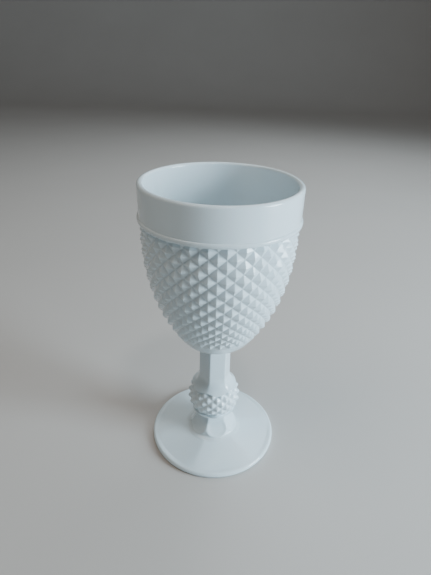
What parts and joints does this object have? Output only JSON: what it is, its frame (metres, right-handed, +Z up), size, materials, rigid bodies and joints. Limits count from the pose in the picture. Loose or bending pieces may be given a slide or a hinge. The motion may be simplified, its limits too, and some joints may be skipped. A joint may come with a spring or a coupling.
{
  "type": "stemmed goblet",
  "caption": "Stemmed goblet in opal pressed glass: hobnail cup with a plain rolled rim, panelled stem with a hobnail ball, and a round panelled foot.",
  "frame": {"origin": "centre of the foot's resting face, on the axis", "axes": "+Z up along the goblet's axis, -Y to the front, +X to the right seen from the front"},
  "size_m": [0.0756, 0.0756, 0.152],
  "materials": {
    "opal_glass": "glossy opal white pressed glass, faintly blue and slightly translucent at the thin rim"
  },
  "bodies": {
    "root": {"foot": "opal_glass", "collar": "opal_glass", "knop": "opal_glass", "stem": "opal_glass", "bowl": "opal_glass", "shoulder_bead": "opal_glass", "rim_band": "opal_glass"}
  },
  "joints": []
}
